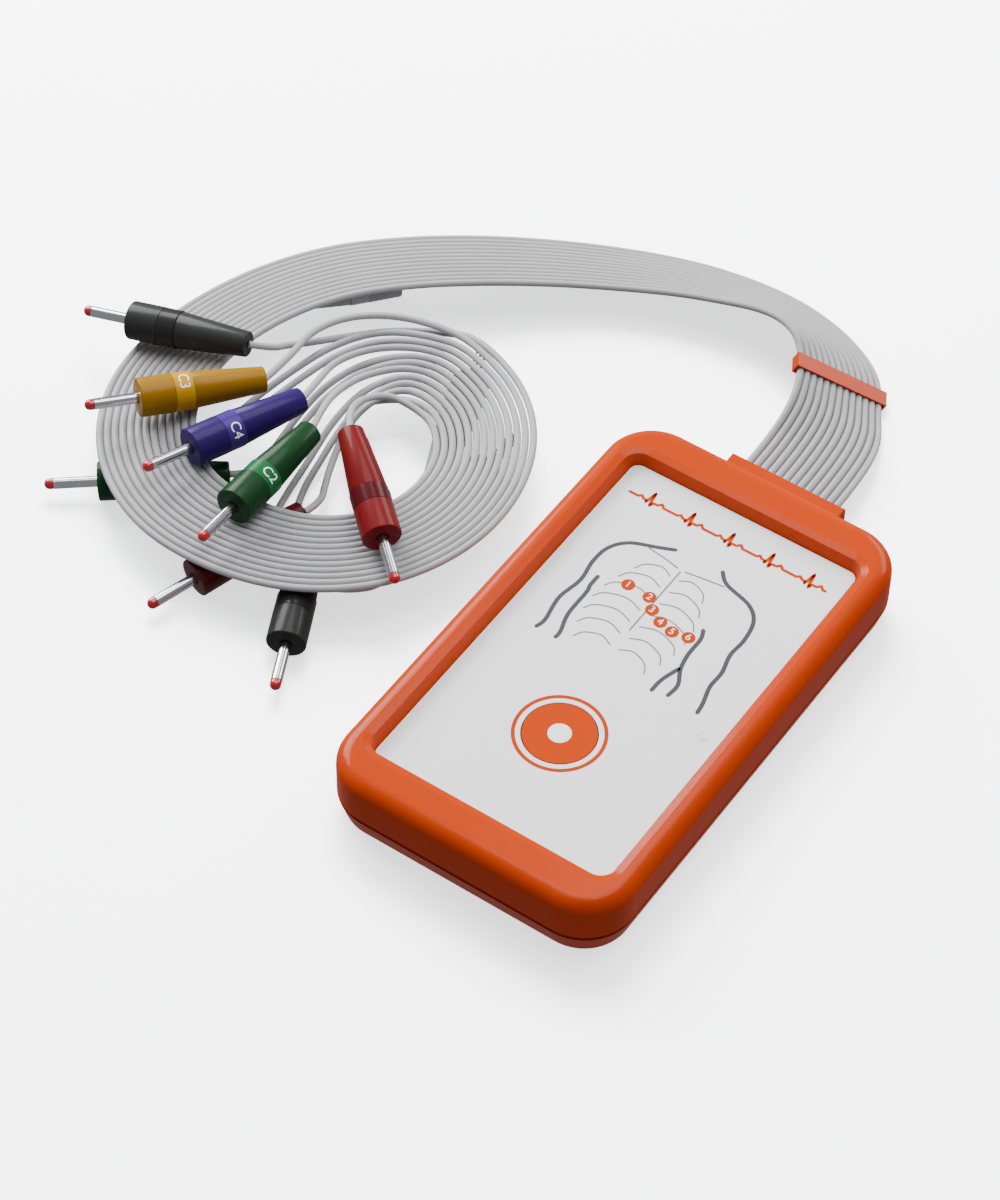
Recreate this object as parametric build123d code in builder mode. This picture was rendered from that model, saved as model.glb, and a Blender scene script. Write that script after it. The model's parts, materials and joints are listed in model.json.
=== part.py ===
from build123d import *
import math
import os

# Hand-held ECG recorder lying on its back with its 13-wire lead set.
# Origin: middle of the case on the surface that it lies on. +Y towards the cable, +Z up, millimetres.

# ---- case ----
CASE_W, CASE_L = 84.0, 143.6
CORNER_R = 14.0
TOP_Z = 20.35
TOP_FILLET = 4.2
SEAM_TOP, SEAM_LOW = 8.0, 7.0
FOOT_H = 0.6
BASE_TAPER = 16.0
BASE_EDGE = 1.2
WALL = 2.2
FLOOR_Z = 3.2
PANEL_LOW = 14.4
LABEL_Z = 16.2
LABEL_T = 0.4
SEAM_INSET = 1.0
# recess in the top: each level is width, length, corner radius and height
RECESS = [(68.0, 117.8, 2.5, LABEL_Z - LABEL_T), (70.6, 119.8, 4.5, 19.75), (74.5, 123.8, 6.5, TOP_Z)]
CUT_PAST = 0.5

# ---- button and light ----
BUTTON_Y = -27.0
BUTTON_R = 9.4
BUTTON_GAP = 0.3
FLANGE_R, FLANGE_T = 10.6, 0.6
FLANGE_Z = 13.5
STEM_R, STEM_Z = 2.0, 12.2
LED_X, LED_Y, LED_R = 29.3, -7.5, 1.1
LED_PROUD = 0.15

# ---- inside ----
BOARD_W, BOARD_L, BOARD_T, BOARD_Z = 56.0, 98.0, 1.2, 9.0
BOARD_Y = 13.0
SWITCH_W, SWITCH_T, PLUNGER_R, PLUNGER_T = 6.0, 0.8, 1.2, 0.5
CAN_W, CAN_L, CAN_H, CAN_WALL, CAN_Y = 32.0, 36.0, 2.6, 0.4, 20.0
BOSS_R = 3.4
SCREW_R, SCREW_HEAD_R, SCREW_HEAD_T = 1.2, 2.4, 1.2
SCREW_X, SCREW_Y = 33.0, 46.0
SCREW_LOW, SCREW_TOP = 0.9, 12.4
POST_R, POST_X = 2.2, 25.0
CELL_R, CELL_L, NUB_R, NUB_L = 5.2, 43.5, 1.9, 1.0
CELL_Z = 8.75
CELL_Y = (-44.6, -56.2)
CONTACT_T, CONTACT_W = 0.5, 8.0
BAY_W, BAY_L, BAY_Y = 49.0, 23.6, -50.4

# ---- battery door ----
DOOR_W, DOOR_L, DOOR_T = 52.0, 32.6, 1.2
DOOR_Z, DOOR_END_Y, DOOR_TRAVEL = 0.75, -66.4, 28.0
TONGUE_W, TONGUE_T = 1.2, 0.6
DOOR_GAP = 0.3
CHANNEL_L = DOOR_L + DOOR_TRAVEL + 2 * DOOR_GAP
FOOT_R, FOOT_X, FOOT_Y = 4.0, 33.0, 59.0
GRIP_W, GRIP_T, GRIP_D, GRIPS, GRIP_PITCH = 14.0, 0.8, 0.4, 5, 1.8

# ---- socket and plug of the cable ----
SOCKET_W, SOCKET_H, SOCKET_Y0 = 34.0, 6.4, 62.0
PORT_Z = 7.5
INSERT_W, INSERT_H, INSERT_Y0 = 30.0, 3.6, 65.2
PORT_GAP = 0.35
HOOD_W, HOOD_H, HOOD_Y0, HOOD_Y1 = 34.6, 7.0, 72.0, 80.6
HOOD_EDGE = 0.3
CONTACT_PITCH, CONTACT_STRIP = 2.2, (1.0, 5.0, 0.2)

# ---- wires ----
LEADS = 13
MIDDLE = 7
WIRE_D = 1.95
ARC_SHARE = 0.45
# Ribbon of 13 wires: x, y, z of the middle wire, tilt with the outer edge down, and wire pitch.
# It leaves the hood, bends through the clip, lies on its outer edge, and makes one flat loop.
RIBBON = [
    (0, 80.6, 7.5, 0, 2.25), (0, 92, 7.5, 0, 2.25), (-1.5, 106.5, 8, 16, 2.12),
    (-6.3, 116.6, 8.3, 28.5, 2.05), (-11.1, 125.1, 8.3, 28.5, 2.05), (-18.4, 131, 9, 36, 2.05),
    (-27.4, 134.6, 9, 37.5, 2.05), (-37.6, 135.9, 8.5, 34.5, 2.05), (-50, 134.9, 7.4, 29, 2.05),
    (-64.5, 131.8, 6.5, 24.5, 2.05), (-80.3, 125.3, 6.2, 20.5, 2.05), (-96.6, 115.2, 7.7, 17.5, 2.05),
    (-112.4, 102.2, 10.3, 15, 2.05), (-127.4, 88, 12.5, 14, 2.05), (-142.2, 73.1, 12.4, 13, 2.05),
    (-152.8, 54.2, 12.1, 12, 2.05), (-158.1, 32, 12, 10, 2.05), (-155.7, 9.5, 12.1, 6, 2.05),
    (-144.4, -8.2, 12.4, 2, 2.05), (-126.6, -18.6, 12.4, 0, 2.05), (-106.4, -19.6, 12.4, 0, 2.05),
    (-87.3, -14.2, 12.5, -2, 2.05), (-72.2, -1.5, 12.7, -3, 2.05), (-64.6, 17.8, 12.8, -4, 2.05),
    (-67.2, 38.4, 12.7, -4, 2.08), (-78.4, 53.6, 12.6, -3, 2.2), (-94.6, 60.2, 12.3, -2, 2.38),
]
FIRST_HEADING, LAST_HEADING = 90, 200
# After the loop the wires fan out: each wire's own points, up to its plug.
FAN = {
    1: [(-102.6, 43.4, 13.4), (-105.8, 35.4, 16.4), (-103, 26.4, 20.2)],
    2: [(-103.8, 46.2, 8.4), (-111, 41.8, 5.8), (-110.7, 34.4, 5.3)],
    3: [(-102.5, 48.6, 11.2), (-106.4, 40.4, 10.4), (-106.6, 31, 9.8), (-104.6, 21.8, 6.6),
        (-101.4, 13.6, 5.4), (-98, 7.2, 6.2)],
    4: [(-103.4, 50.8, 11.8), (-108.4, 41.2, 9.8), (-109.2, 30.5, 6.4), (-108.4, 20.5, 3.4),
        (-107.2, 11, 1.2), (-103.3, 2.4, 1), (-95.2, 1.8, 3.2)],
    5: [(-104.2, 53, 12), (-110.6, 43, 10.4), (-112.2, 31.5, 7), (-111.2, 20, 3.4), (-110.2, 8.5, 1),
        (-107.6, -2.4, 1), (-101, -7.4, 1), (-92.5, -9.2, 1), (-84.6, -8.6, 1), (-77.2, -4.4, 1),
        (-73.1, 3.6, 1), (-73.1, 13.6, 1), (-76.4, 23.6, 2.2)],
    6: [(-104.8, 55.6, 12.3), (-112.4, 46.4, 12.4), (-114.2, 35.6, 13.8), (-111.8, 26, 16)],
    7: [(-105.4, 58.2, 12.2), (-114.2, 49.2, 10.8), (-118.6, 38.4, 7.8), (-119.4, 27.6, 4.8),
        (-118.8, 16.8, 4.2), (-117.4, 7, 5.6)],
    8: [(-105.9, 60.6, 12.2), (-115.8, 51.4, 11), (-121.2, 40.2, 8), (-122.3, 28.6, 4.6), (-122, 18, 1.8),
        (-121.2, 8, 1), (-118.4, -1.4, 1), (-112.4, -8.2, 1), (-103.6, -10.6, 1), (-94.4, -12.8, 1),
        (-85.2, -12.8, 1), (-77, -9.4, 1), (-70.4, -2.2, 1.1)],
    9: [(-106.3, 63, 12.6), (-116.2, 55.2, 13), (-120.9, 44.4, 14), (-119.2, 34.6, 15.6)],
    10: [(-106.7, 65.8, 12.2), (-118, 60, 10.8), (-125, 50, 9), (-129.2, 38.2, 6.6), (-132.8, 25.4, 4),
         (-135.6, 12.2, 1.6), (-138.3, -1.8, 1), (-147.2, -6.8, 1), (-156, -2.6, 1), (-160.8, 7, 1),
         (-163.4, 19.6, 1), (-165, 33, 1), (-165.6, 47, 1), (-161.6, 58.8, 2.4)],
    11: [(-107.2, 68.4, 12.2), (-119.6, 63.2, 10.8), (-127.4, 53, 9.4), (-131.8, 41, 7.4),
         (-135.6, 28, 4.8), (-138.2, 14, 1.8), (-139.6, 1.4, 1), (-145.7, -2.2, 1.1), (-152.2, 1.3, 3.1)],
    12: [(-107.4, 72.2, 12.9), (-118.8, 67.8, 13.6), (-127.4, 59.6, 14.8), (-131.4, 48.2, 16.2),
         (-129.6, 36.6, 17.2)],
    13: [(-106.6, 73, 9.8), (-118.2, 67, 8.6), (-126.4, 58, 9), (-132.2, 48.6, 11), (-135, 41.4, 14.4),
         (-134.6, 36.2, 18)],
}
# Lead plugs: x, y, z of the boot's end, heading and rise of the axis in degrees.
PLUG = {
    1: (-97.2, 19.7, 22.9, -40.3, -6.2),
    2: (-103.6, 30.3, 5.3, -42, 0),
    3: (-99.2, 0.9, 7.2, 252.1, -3.2),
    4: (-92, -4.6, 7.2, -65, -3.2),
    5: (-79.5, 33.5, 5.3, 109.9, 0),
    6: (-109.2, 18.3, 16.9, 271.3, 4),
    7: (-123.5, 1.4, 6.4, 217.6, -1.8),
    8: (-68.5, 8, 5.3, 92.3, 0),
    9: (-118, 26.2, 16.8, 249.6, 4),
    10: (-152.6, 60.7, 5.3, 50, 0),
    11: (-153, 8.8, 5.3, 97.3, 0),
    12: (-130, 26, 17.5, 232.3, 6),
    13: (-139.2, 31.4, 20.7, 193.5, -6),
}
BOOT_R, BODY_R, COLLAR_R, BAND_R, SEAT_R = 3.5, 5.0, 5.25, 5.2, 4.8
BOOT_L, BAND_L, BODY_L = 20.0, 5.2, 34.5
PLUG_EDGE = 0.35
PIN_R, PIN_L, TIP_L = 1.5, 11.8, 2.5

# ---- clip on the ribbon ----
CLIP_W, CLIP_D, CLIP_T = 28.2, 5.0, 3.2
CLIP_SLOT_W, CLIP_SLOT_H = 26.9, 2.25
CLIP_BEFORE = 3


def write(part, label):
    """Label a finished piece and write its STEP file."""
    part.label = label
    export_step(part, f"parts/{label}.step")


def corner_points(half_x, half_y):
    """Four places, one in each corner."""
    return [(x * half_x, y * half_y) for x in (-1, 1) for y in (-1, 1)]


os.makedirs("parts", exist_ok=True)

# ======== case ========
# Top shell: a flat rim around a deep recess with a bevelled edge, open below.
with BuildPart() as top_shell:
    with BuildSketch(Plane.XY.offset(SEAM_TOP)):
        RectangleRounded(CASE_W, CASE_L, CORNER_R)
    extrude(amount=TOP_Z - SEAM_TOP)
    fillet(top_shell.faces().sort_by(Axis.Z)[-1].edges(), TOP_FILLET)
    with BuildSketch(Plane.XY.offset(SEAM_TOP)):
        RectangleRounded(CASE_W - 2 * WALL, CASE_L - 2 * WALL, CORNER_R - WALL)
    extrude(amount=PANEL_LOW - SEAM_TOP, mode=Mode.SUBTRACT)
    for lower, upper in zip(RECESS[:-1], RECESS[1:]):
        for width, length, radius, height in (lower, upper):
            with BuildSketch(Plane.XY.offset(height)):
                RectangleRounded(width, length, radius)
        loft(mode=Mode.SUBTRACT)
    with BuildSketch(Plane.XY.offset(PANEL_LOW)):
        with Locations((0, BUTTON_Y)):
            Circle(BUTTON_R + BUTTON_GAP)
        with Locations((LED_X, LED_Y)):
            Circle(LED_R)
    extrude(amount=LABEL_Z - PANEL_LOW, mode=Mode.SUBTRACT)
    with BuildSketch(Plane.XY.offset(SEAM_TOP)):
        with Locations(*corner_points(SCREW_X, SCREW_Y)):
            Circle(BOSS_R)
    extrude(amount=PANEL_LOW - SEAM_TOP)
    with BuildSketch(Plane.XY.offset(SEAM_TOP)):
        with Locations(*corner_points(SCREW_X, SCREW_Y)):
            Circle(SCREW_R)
    extrude(amount=SCREW_TOP - SEAM_TOP, mode=Mode.SUBTRACT)
    with BuildSketch(Plane.XZ.offset(-SOCKET_Y0)):
        with Locations((0, PORT_Z)):
            Rectangle(SOCKET_W, SOCKET_H)
    extrude(amount=-(CASE_L / 2 - SOCKET_Y0 + CUT_PAST), mode=Mode.SUBTRACT)
write(top_shell.part, "top_shell")

# Bottom shell: a tray whose sides draw in towards the base.
with BuildPart() as bottom_shell:
    with BuildSketch(Plane.XY.offset(SEAM_LOW)):
        RectangleRounded(CASE_W, CASE_L, CORNER_R)
    extrude(amount=-(SEAM_LOW - FOOT_H), taper=BASE_TAPER)
    fillet(bottom_shell.faces().sort_by(Axis.Z)[0].edges(), BASE_EDGE)
    with BuildSketch(Plane.XY.offset(SEAM_LOW)):
        RectangleRounded(CASE_W - 2 * WALL, CASE_L - 2 * WALL, CORNER_R - WALL)
    extrude(amount=-(SEAM_LOW - FLOOR_Z), taper=BASE_TAPER, mode=Mode.SUBTRACT)
    with BuildSketch(Plane.XY.offset(FLOOR_Z)):
        with Locations(*corner_points(SCREW_X, SCREW_Y)):
            Circle(BOSS_R)
    extrude(amount=SEAM_TOP - FLOOR_Z)
    with BuildSketch(Plane.XY.offset(FLOOR_Z)):
        with Locations((-POST_X, BOARD_Y - BOARD_L / 3), (POST_X, BOARD_Y - BOARD_L / 3)):
            Circle(POST_R)
        with Locations((-POST_X, BOARD_Y + BOARD_L / 3), (POST_X, BOARD_Y + BOARD_L / 3)):
            Circle(POST_R)
    extrude(amount=BOARD_Z - FLOOR_Z)
    with BuildSketch():
        with Locations(*corner_points(SCREW_X, SCREW_Y)):
            Circle(SCREW_R)
    extrude(amount=SEAM_TOP, mode=Mode.SUBTRACT)
    with BuildSketch():
        with Locations(*corner_points(SCREW_X, SCREW_Y)):
            Circle(SCREW_HEAD_R)
    extrude(amount=SCREW_LOW + SCREW_HEAD_T, mode=Mode.SUBTRACT)
    with BuildSketch():
        with Locations((0, BAY_Y)):
            Rectangle(BAY_W, BAY_L)
    extrude(amount=SEAM_LOW, mode=Mode.SUBTRACT)
    # channel for the door, with a groove along each side, closed at both ends
    with Locations((0, DOOR_END_Y - DOOR_GAP, 0)):
        Box(DOOR_W + 2 * DOOR_GAP, CHANNEL_L, DOOR_Z + DOOR_T + DOOR_GAP,
            align=(Align.CENTER, Align.MIN, Align.MIN), mode=Mode.SUBTRACT)
    with Locations((0, DOOR_END_Y - DOOR_GAP, DOOR_Z + DOOR_T - TONGUE_T - DOOR_GAP)):
        Box(DOOR_W + 2 * (TONGUE_W + DOOR_GAP), CHANNEL_L, TONGUE_T + 2 * DOOR_GAP,
            align=(Align.CENTER, Align.MIN, Align.MIN), mode=Mode.SUBTRACT)
    with BuildSketch(Plane.XZ.offset(-SOCKET_Y0)):
        with Locations((0, PORT_Z)):
            Rectangle(SOCKET_W, SOCKET_H)
    extrude(amount=-(CASE_L / 2 - SOCKET_Y0 + CUT_PAST), mode=Mode.SUBTRACT)
write(bottom_shell.part, "bottom_shell")

with BuildPart() as seam_gasket:
    with BuildSketch(Plane.XY.offset(SEAM_LOW)):
        RectangleRounded(CASE_W - 2 * SEAM_INSET, CASE_L - 2 * SEAM_INSET, CORNER_R - SEAM_INSET)
        RectangleRounded(CASE_W - 2 * WALL, CASE_L - 2 * WALL, CORNER_R - WALL, mode=Mode.SUBTRACT)
        with Locations((0, CASE_L / 2)):
            Rectangle(SOCKET_W, CASE_L - 2 * SOCKET_Y0, mode=Mode.SUBTRACT)
    extrude(amount=SEAM_TOP - SEAM_LOW)
write(seam_gasket.part, "seam_gasket")

with BuildPart() as front_overlay:
    with BuildSketch(Plane.XY.offset(LABEL_Z - LABEL_T)):
        RectangleRounded(RECESS[0][0] - BUTTON_GAP, RECESS[0][1] - BUTTON_GAP, RECESS[0][2])
        with Locations((0, BUTTON_Y)):
            Circle(BUTTON_R + BUTTON_GAP, mode=Mode.SUBTRACT)
        with Locations((LED_X, LED_Y)):
            Circle(LED_R, mode=Mode.SUBTRACT)
    extrude(amount=LABEL_T)
write(front_overlay.part, "front_overlay")

with BuildPart() as rubber_feet:
    with BuildSketch():
        with Locations(*corner_points(FOOT_X, FOOT_Y)):
            Circle(FOOT_R)
    extrude(amount=FOOT_H)
write(rubber_feet.part, "rubber_feet")

# ======== button, light and inside ========
with BuildPart() as start_button:
    with BuildSketch(Plane.XY.offset(FLANGE_Z)):
        with Locations((0, BUTTON_Y)):
            Circle(BUTTON_R)
    extrude(amount=LABEL_Z - FLANGE_Z)
    with BuildSketch(Plane.XY.offset(FLANGE_Z)):
        with Locations((0, BUTTON_Y)):
            Circle(FLANGE_R)
    extrude(amount=FLANGE_T)
    with BuildSketch(Plane.XY.offset(STEM_Z)):
        with Locations((0, BUTTON_Y)):
            Circle(STEM_R)
    extrude(amount=FLANGE_Z - STEM_Z)
write(start_button.part, "start_button")

with BuildPart() as main_board:
    with BuildSketch(Plane.XY.offset(BOARD_Z)):
        with Locations((0, BOARD_Y)):
            Rectangle(BOARD_W, BOARD_L)
            Rectangle(2 * LED_X + 2 * SWITCH_W, SWITCH_W * 2)
    extrude(amount=BOARD_T)
write(main_board.part, "main_board")

with BuildPart() as status_led:
    with BuildSketch(Plane.XY.offset(BOARD_Z + BOARD_T)):
        with Locations((LED_X, LED_Y)):
            Circle(LED_R)
    extrude(amount=LABEL_Z + LED_PROUD - BOARD_Z - BOARD_T)
    fillet(status_led.edges().sort_by(Axis.Z)[-1], LED_PROUD)
write(status_led.part, "status_led")

with BuildPart() as tact_switch:
    with BuildSketch(Plane.XY.offset(BOARD_Z + BOARD_T)):
        with Locations((0, BUTTON_Y)):
            Rectangle(SWITCH_W, SWITCH_W)
    extrude(amount=SWITCH_T)
    with BuildSketch(Plane.XY.offset(BOARD_Z + BOARD_T + SWITCH_T)):
        with Locations((0, BUTTON_Y)):
            Circle(PLUNGER_R)
    extrude(amount=PLUNGER_T)
write(tact_switch.part, "tact_switch")

with BuildPart() as shield_can:
    with Locations((0, CAN_Y, BOARD_Z + BOARD_T)):
        Box(CAN_W, CAN_L, CAN_H, align=(Align.CENTER, Align.CENTER, Align.MIN))
        Box(CAN_W - 2 * CAN_WALL, CAN_L - 2 * CAN_WALL, CAN_H - CAN_WALL,
            align=(Align.CENTER, Align.CENTER, Align.MIN), mode=Mode.SUBTRACT)
write(shield_can.part, "shield_can")

with BuildPart() as battery_cells:
    for side, cell_y in zip((-1, 1), CELL_Y):
        with BuildSketch(Plane.YZ.offset(-CELL_L / 2)):
            with Locations((cell_y, CELL_Z)):
                Circle(CELL_R)
        extrude(amount=CELL_L)
        with BuildSketch(Plane.YZ.offset(side * CELL_L / 2)):
            with Locations((cell_y, CELL_Z)):
                Circle(NUB_R)
        extrude(amount=side * NUB_L)
write(battery_cells.part, "battery_cells")

with BuildPart() as battery_contacts:
    for side in (-1, 1):
        for cell_y in CELL_Y:
            with Locations((side * (CELL_L / 2 + NUB_L + CONTACT_T / 2), cell_y, CELL_Z)):
                Box(CONTACT_T, CONTACT_W, CONTACT_W)
write(battery_contacts.part, "battery_contacts")

with BuildPart() as shell_screws:
    with BuildSketch(Plane.XY.offset(SCREW_LOW)):
        with Locations(*corner_points(SCREW_X, SCREW_Y)):
            Circle(SCREW_HEAD_R)
    extrude(amount=SCREW_HEAD_T)
    with BuildSketch(Plane.XY.offset(SCREW_LOW)):
        with Locations(*corner_points(SCREW_X, SCREW_Y)):
            Circle(SCREW_R)
    extrude(amount=SCREW_TOP - SCREW_LOW)
write(shell_screws.part, "shell_screws")

# ======== battery door ========
with BuildPart() as battery_door:
    with Locations((0, DOOR_END_Y, DOOR_Z)):
        Box(DOOR_W, DOOR_L, DOOR_T, align=(Align.CENTER, Align.MIN, Align.MIN))
    with Locations((0, DOOR_END_Y, DOOR_Z + DOOR_T - TONGUE_T)):
        Box(DOOR_W + 2 * TONGUE_W, DOOR_L, TONGUE_T, align=(Align.CENTER, Align.MIN, Align.MIN))
    with Locations((0, DOOR_END_Y + DOOR_L / 3, DOOR_Z)):
        with GridLocations(1, GRIP_PITCH, 1, GRIPS):
            Box(GRIP_W, GRIP_T, GRIP_D, align=(Align.CENTER, Align.CENTER, Align.MIN), mode=Mode.SUBTRACT)
write(battery_door.part, "battery_door")

# ======== socket and cable plug ========
with BuildPart() as cable_socket:
    with BuildSketch(Plane.XZ.offset(-SOCKET_Y0)):
        with Locations((0, PORT_Z)):
            Rectangle(SOCKET_W, SOCKET_H)
    extrude(amount=-(CASE_L / 2 - WALL / 2 - SOCKET_Y0))
    with BuildSketch(Plane.XZ.offset(-(INSERT_Y0 - PORT_GAP))):
        with Locations((0, PORT_Z)):
            Rectangle(INSERT_W + 2 * PORT_GAP, INSERT_H + 2 * PORT_GAP)
    extrude(amount=-(CASE_L / 2 - INSERT_Y0), mode=Mode.SUBTRACT)
write(cable_socket.part, "cable_socket")

with BuildPart() as plug_insert:
    with BuildSketch(Plane.XZ.offset(-INSERT_Y0)):
        with Locations((0, PORT_Z)):
            Rectangle(INSERT_W, INSERT_H)
    extrude(amount=-(HOOD_Y0 - INSERT_Y0))
write(plug_insert.part, "plug_insert")

with BuildPart() as plug_contacts:
    with Locations((0, (INSERT_Y0 + HOOD_Y0) / 2, PORT_Z + INSERT_H / 2)):
        with GridLocations(CONTACT_PITCH, 1, LEADS, 1):
            Box(*CONTACT_STRIP, align=(Align.CENTER, Align.CENTER, Align.MIN))
write(plug_contacts.part, "plug_contacts")

for hood_side, hood_name in ((1, "plug_hood_top"), (-1, "plug_hood_bottom")):
    with BuildPart() as hood_half:
        with BuildSketch(Plane.XY.offset(PORT_Z)):
            with Locations((0, (HOOD_Y0 + HOOD_Y1) / 2)):
                Rectangle(HOOD_W, HOOD_Y1 - HOOD_Y0)
        extrude(amount=hood_side * HOOD_H / 2)
        outer_face = hood_half.faces().sort_by(Axis.Z)[-1 if hood_side > 0 else 0]
        chamfer(outer_face.edges(), HOOD_EDGE)
    write(hood_half.part, hood_name)


# ======== wires ========
def heading(start, end):
    """Plan direction from one ribbon station to another, in radians."""
    return math.atan2(end[1] - start[1], end[0] - start[0])


def ribbon_points(wire):
    """One wire's points: every station's middle moved across the ribbon, mitred at the turns."""
    headings = [heading(a, b) for a, b in zip(RIBBON[:-1], RIBBON[1:])]
    before = [math.radians(FIRST_HEADING)] + headings
    after = headings + [math.radians(LAST_HEADING)]
    points = []
    for (x, y, z, tilt, pitch), into, out in zip(RIBBON, before, after):
        half_turn = math.remainder(out - into, 2 * math.pi) / 2
        across = (wire - MIDDLE) * pitch
        reach = across * math.cos(math.radians(tilt)) / math.cos(half_turn)
        facing = into + half_turn
        drop = across * math.sin(math.radians(tilt))
        points.append((x + reach * math.sin(facing), y - reach * math.cos(facing), z - drop))
    return points


def arc_radii(points):
    """One radius for each corner: as large as its two runs allow."""
    radii = []
    for a, b, c in zip(points[:-2], points[1:-1], points[2:]):
        run_in, run_out = Vector(*b) - Vector(*a), Vector(*c) - Vector(*b)
        half_turn = math.radians(run_in.get_angle(run_out)) / 2
        radii.append(ARC_SHARE * min(run_in.length, run_out.length) / math.tan(half_turn))
    return radii


for wire in range(1, LEADS + 1):
    route = ribbon_points(wire) + FAN[wire] + [PLUG[wire][:3]]
    radii = arc_radii(route)
    with BuildPart() as lead_wire:
        with BuildLine() as lead_path:
            middle_line = FilletPolyline(*route, radius=radii)
        with BuildSketch(Plane(origin=middle_line @ 0, z_dir=middle_line % 0)):
            Circle(WIRE_D / 2)
        sweep()
    length = lead_path.wire().length
    ratio = lead_wire.part.volume / (math.pi * WIRE_D ** 2 / 4 * length)
    print(f"wire_{wire:02d} length {length:.1f} tightest {min(radii):.2f} volume ratio {ratio:.4f}")
    write(lead_wire.part, f"wire_{wire:02d}")


# ======== lead plugs ========
def plug_axis(lead):
    """Direction of a lead plug from the end of its boot to its pin."""
    turn, rise = math.radians(PLUG[lead][3]), math.radians(PLUG[lead][4])
    return Vector(math.cos(rise) * math.cos(turn), math.cos(rise) * math.sin(turn), math.sin(rise))


def plug_plane(lead, along=0):
    """Plane across a lead plug, some way along it from the end of its boot."""
    return Plane(origin=Vector(*PLUG[lead][:3]), z_dir=plug_axis(lead)).offset(along)


for lead in range(1, LEADS + 1):
    boot_end, plug_way = Vector(*PLUG[lead][:3]), plug_axis(lead)
    side_way = Vector(0, 0, 1).cross(plug_way)
    with BuildPart() as lead_plug:
        with BuildSketch(Plane(origin=boot_end, x_dir=side_way, z_dir=side_way.cross(plug_way))):
            with BuildLine():
                Polyline((0, 0), (BOOT_R - PLUG_EDGE, 0), (BOOT_R, PLUG_EDGE), (BODY_R, BOOT_L), (SEAT_R, BOOT_L),
                         (SEAT_R, BOOT_L + BAND_L), (COLLAR_R, BOOT_L + BAND_L), (COLLAR_R, BODY_L - PLUG_EDGE),
                         (COLLAR_R - PLUG_EDGE, BODY_L), (0, BODY_L), close=True)
            make_face()
        revolve(axis=Axis(boot_end, plug_way))
    write(lead_plug.part, f"lead_plug_{lead:02d}")

with BuildPart() as lead_bands:
    for lead in range(1, LEADS + 1):
        with BuildSketch(plug_plane(lead, BOOT_L)):
            Circle(BAND_R)
            Circle(SEAT_R, mode=Mode.SUBTRACT)
        extrude(amount=BAND_L)
write(lead_bands.part, "lead_bands")

with BuildPart() as lead_pins:
    for lead in range(1, LEADS + 1):
        with BuildSketch(plug_plane(lead, BODY_L)):
            Circle(PIN_R)
        extrude(amount=PIN_L)
write(lead_pins.part, "lead_pins")

with BuildPart() as lead_tips:
    for lead in range(1, LEADS + 1):
        with BuildSketch(plug_plane(lead, BODY_L + PIN_L)):
            Circle(PIN_R)
        extrude(amount=TIP_L - PIN_R)
        with Locations(plug_plane(lead, BODY_L + PIN_L + TIP_L - PIN_R)):
            Sphere(PIN_R, arc_size1=0, align=(Align.CENTER, Align.CENTER, Align.MIN))
write(lead_tips.part, "lead_tips")

# ======== clip ========
clip_start, clip_end = RIBBON[CLIP_BEFORE], RIBBON[CLIP_BEFORE + 1]
clip_middle = (Vector(*clip_start[:3]) + Vector(*clip_end[:3])) / 2
clip_heading = heading(clip_start, clip_end)
clip_tilt = math.radians(clip_start[3])
clip_across = (math.cos(clip_tilt) * math.sin(clip_heading), -math.cos(clip_tilt) * math.cos(clip_heading),
               -math.sin(clip_tilt))
clip_along = (math.cos(clip_heading), math.sin(clip_heading), 0)
clip_up = Vector(*clip_across).cross(Vector(*clip_along))
clip_plane = Plane(origin=clip_middle, x_dir=clip_across, z_dir=clip_up)

for clip_side, clip_name in ((1, "cable_clip_top"), (-1, "cable_clip_bottom")):
    with BuildPart() as clip_half:
        with BuildSketch(clip_plane):
            Rectangle(CLIP_W, CLIP_D)
        extrude(amount=clip_side * CLIP_T / 2)
        with BuildSketch(clip_plane):
            Rectangle(CLIP_SLOT_W, CLIP_D)
        extrude(amount=clip_side * CLIP_SLOT_H / 2, mode=Mode.SUBTRACT)
    write(clip_half.part, clip_name)
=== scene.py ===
"""Looks of a hand-held ECG recorder and its lead set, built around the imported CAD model.

Lengths are written in millimetres and become metres through MM. The frame is the CAD's: origin under the
middle of the case, +Y towards the cable, +Z up.
"""
import json
import math

import bmesh
import bpy
from mathutils import Matrix, Vector


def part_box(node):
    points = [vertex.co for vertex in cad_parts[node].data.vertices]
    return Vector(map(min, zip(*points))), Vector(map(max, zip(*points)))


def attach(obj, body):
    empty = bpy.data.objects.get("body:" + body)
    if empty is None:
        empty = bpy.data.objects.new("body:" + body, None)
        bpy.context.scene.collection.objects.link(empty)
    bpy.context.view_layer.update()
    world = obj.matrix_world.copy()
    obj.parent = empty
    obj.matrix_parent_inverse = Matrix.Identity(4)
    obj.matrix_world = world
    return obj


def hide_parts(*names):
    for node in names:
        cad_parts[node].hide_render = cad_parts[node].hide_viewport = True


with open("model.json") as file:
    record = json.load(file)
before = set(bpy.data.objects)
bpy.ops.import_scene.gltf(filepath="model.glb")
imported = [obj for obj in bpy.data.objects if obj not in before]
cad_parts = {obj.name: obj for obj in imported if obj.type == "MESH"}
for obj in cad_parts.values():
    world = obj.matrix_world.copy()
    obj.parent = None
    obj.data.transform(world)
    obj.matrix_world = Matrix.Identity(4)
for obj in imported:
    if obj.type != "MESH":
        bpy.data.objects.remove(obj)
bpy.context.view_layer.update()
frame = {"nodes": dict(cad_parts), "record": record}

MM = 0.001

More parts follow.
